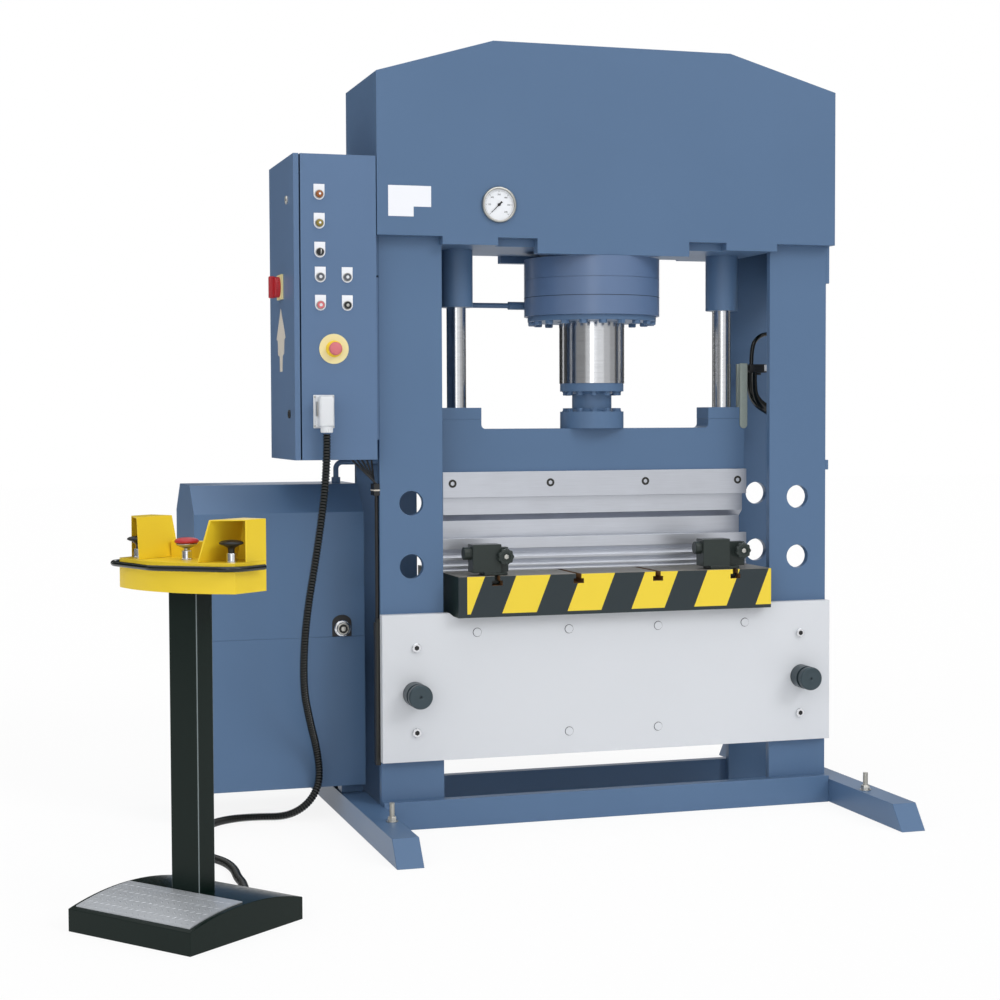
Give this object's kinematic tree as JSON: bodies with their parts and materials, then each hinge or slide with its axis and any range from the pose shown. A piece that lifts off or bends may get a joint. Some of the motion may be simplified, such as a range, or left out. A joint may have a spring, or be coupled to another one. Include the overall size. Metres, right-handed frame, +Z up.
{
  "type": "hydraulic press",
  "caption": "Two-column hydraulic press with ram beam, bending punch and die, pinned table, side control cabinet, oil power unit and a free-standing two-hand control pedestal.",
  "frame": {"origin": "on the floor, at the middle of the footprint of press, power unit and pedestal", "axes": "+X to the right of someone who faces the press, +Y to its back, +Z up"},
  "size_m": [2.5884, 2.0914, 2.419],
  "materials": {
    "blue_enamel": "satin",
    "cabinet_enamel": "satin",
    "grey_plate": "satin",
    "machined_steel": "brushed",
    "chromed_steel": "polished",
    "yellow_enamel": "satin",
    "black_enamel": "satin",
    "hazard_paint": "satin",
    "black_steel": "blackened",
    "tread_steel": "chequered",
    "zinc_steel": "zinc plated",
    "black_plastic": "matte",
    "grey_plastic": "matte",
    "red_plastic": "gloss",
    "amber_plastic": "gloss",
    "cast_grey": "as cast",
    "conduit_rubber": "matte"
  },
  "bodies": {
    "frame": {"anchor_studs": "zinc_steel", "base_frame": "blue_enamel", "cabinet_body": "cabinet_enamel", "cabinet_leads": "black_plastic", "column_plates": "blue_enamel", "conduit": "conduit_rubber", "connector": "grey_plastic", "console": "yellow_enamel", "control_gear": "grey_plastic", "cylinder": "blue_enamel", "die_block": "machined_steel", "feed_pipe": "blue_enamel", "frame_bolts": "blue_enamel", "gauge_case": "chromed_steel", "guide_sleeves": "blue_enamel", "head_casing": "blue_enamel", "head_plates": "blue_enamel", "legend_plates": "grey_plastic", "oil_filler": "black_plastic", "oil_tank": "blue_enamel", "pedestal_base": "black_enamel", "pedestal_column": "black_enamel", "pilot_lamps": "amber_plastic", "rest_bar": "black_enamel", "stroke_switch": "black_plastic", "table_plates": "grey_plate", "table_spacers": "grey_plate", "tank_cover": "blue_enamel", "tee_slot_block": "hazard_paint", "tread_plate": "tread_steel"},
    "ram": {"ram": "chromed_steel", "ram_coupling": "blue_enamel", "ram_screws": "black_steel", "ram_beam": "blue_enamel", "rod_caps": "blue_enamel", "guide_rods": "chromed_steel", "punch": "machined_steel", "punch_clamp_plates": "machined_steel", "cam_bar": "zinc_steel"},
    "needle": {"gauge_needle": "black_plastic"},
    "door": {"cabinet_door": "cabinet_enamel", "main_switch_plate": "yellow_enamel"},
    "lock_upper": {"door_lock_upper": "zinc_steel"},
    "lock_lower": {"door_lock_lower": "zinc_steel"},
    "switch_handle": {"main_switch": "red_plastic"},
    "key": {"key_switch": "zinc_steel"},
    "button_upper_left": {"push_button_upper_left": "black_plastic"},
    "button_upper_right": {"push_button_upper_right": "black_plastic"},
    "button_lower_left": {"push_button_lower_left": "red_plastic"},
    "button_lower_right": {"push_button_lower_right": "black_plastic"},
    "cabinet_stop": {"cabinet_stop_button": "red_plastic"},
    "palm_left": {"palm_button_left": "black_plastic"},
    "palm_right": {"palm_button_right": "black_plastic"},
    "console_stop": {"console_stop_button": "red_plastic"},
    "pin_left": {"table_pin_left": "black_steel"},
    "pin_right": {"table_pin_right": "black_steel"},
    "edge_stop_left": {"stop_left": "cast_grey"},
    "edge_stop_right": {"stop_right": "cast_grey"},
    "knob_left": {"stop_knob_left": "black_plastic"},
    "knob_right": {"stop_knob_right": "black_plastic"}
  },
  "joints": [
    {"name": "ram_stroke", "type": "slide", "parent": "frame", "child": "ram", "axis": [0, 0, 1], "range_m": [0, 0.18]},
    {"name": "needle_swing", "type": "hinge", "parent": "frame", "child": "needle", "pos_m": [0.08616, 0.12466, 1.92], "axis": [0, 1, 0], "range_deg": [0, 270], "stiffness_Nm_per_rad": 0.0005, "springref_deg": -17.19},
    {"name": "door_hinge", "type": "hinge", "parent": "frame", "child": "door", "pos_m": [-0.53384, 0.54516, 1.6], "axis": [0, 0, 1], "range_deg": [-120, 0]},
    {"name": "lock_turn_upper", "type": "hinge", "parent": "door", "child": "lock_upper", "pos_m": [-0.55284, 0.23266, 1.927], "axis": [1, 0, 0], "range_deg": [0, 90]},
    {"name": "lock_turn_lower", "type": "hinge", "parent": "door", "child": "lock_lower", "pos_m": [-0.55284, 0.21366, 1.28], "axis": [1, 0, 0], "range_deg": [0, 90]},
    {"name": "main_switch_turn", "type": "hinge", "parent": "door", "child": "switch_handle", "pos_m": [-0.55284, 0.34566, 1.671], "axis": [1, 0, 0], "range_deg": [0, 90]},
    {"name": "key_turn", "type": "hinge", "parent": "frame", "child": "key", "pos_m": [-0.47384, 0.13066, 1.764], "axis": [0, 1, 0], "range_deg": [0, 90]},
    {"name": "button_press_upper_left", "type": "slide", "parent": "frame", "child": "button_upper_left", "axis": [0, 1, 0], "range_m": [0, 0.004], "stiffness_N_per_m": 600, "springref_m": -0.003},
    {"name": "button_press_upper_right", "type": "slide", "parent": "frame", "child": "button_upper_right", "axis": [0, 1, 0], "range_m": [0, 0.004], "stiffness_N_per_m": 600, "springref_m": -0.003},
    {"name": "button_press_lower_left", "type": "slide", "parent": "frame", "child": "button_lower_left", "axis": [0, 1, 0], "range_m": [0, 0.004], "stiffness_N_per_m": 600, "springref_m": -0.003},
    {"name": "button_press_lower_right", "type": "slide", "parent": "frame", "child": "button_lower_right", "axis": [0, 1, 0], "range_m": [0, 0.004], "stiffness_N_per_m": 600, "springref_m": -0.003},
    {"name": "cabinet_stop_press", "type": "slide", "parent": "frame", "child": "cabinet_stop", "axis": [0, 1, 0], "range_m": [0, 0.005]},
    {"name": "palm_press_left", "type": "slide", "parent": "frame", "child": "palm_left", "axis": [0, 0, -1], "range_m": [0, 0.006], "stiffness_N_per_m": 1500, "springref_m": -0.004},
    {"name": "palm_press_right", "type": "slide", "parent": "frame", "child": "palm_right", "axis": [0, 0, -1], "range_m": [0, 0.006], "stiffness_N_per_m": 1500, "springref_m": -0.004},
    {"name": "console_stop_press", "type": "slide", "parent": "frame", "child": "console_stop", "axis": [0, 0, -1], "range_m": [0, 0.005]},
    {"name": "pin_pull_left", "type": "slide", "parent": "frame", "child": "pin_left", "axis": [0, -1, 0], "range_m": [0, 0.43]},
    {"name": "pin_pull_right", "type": "slide", "parent": "frame", "child": "pin_right", "axis": [0, -1, 0], "range_m": [0, 0.43]},
    {"name": "stop_slide_left", "type": "slide", "parent": "frame", "child": "edge_stop_left", "axis": [0, 1, 0], "range_m": [-0.03, 0.1]},
    {"name": "stop_slide_right", "type": "slide", "parent": "frame", "child": "edge_stop_right", "axis": [0, 1, 0], "range_m": [-0.03, 0.1]},
    {"name": "knob_turn_left", "type": "hinge", "parent": "edge_stop_left", "child": "knob_left", "pos_m": [0.09666, 0.14566, 0.838], "axis": [0, 1, 0], "range_deg": [0, 180]},
    {"name": "knob_turn_right", "type": "hinge", "parent": "edge_stop_right", "child": "knob_right", "pos_m": [0.89166, 0.14566, 0.838], "axis": [0, 1, 0], "range_deg": [0, 180]}
  ]
}
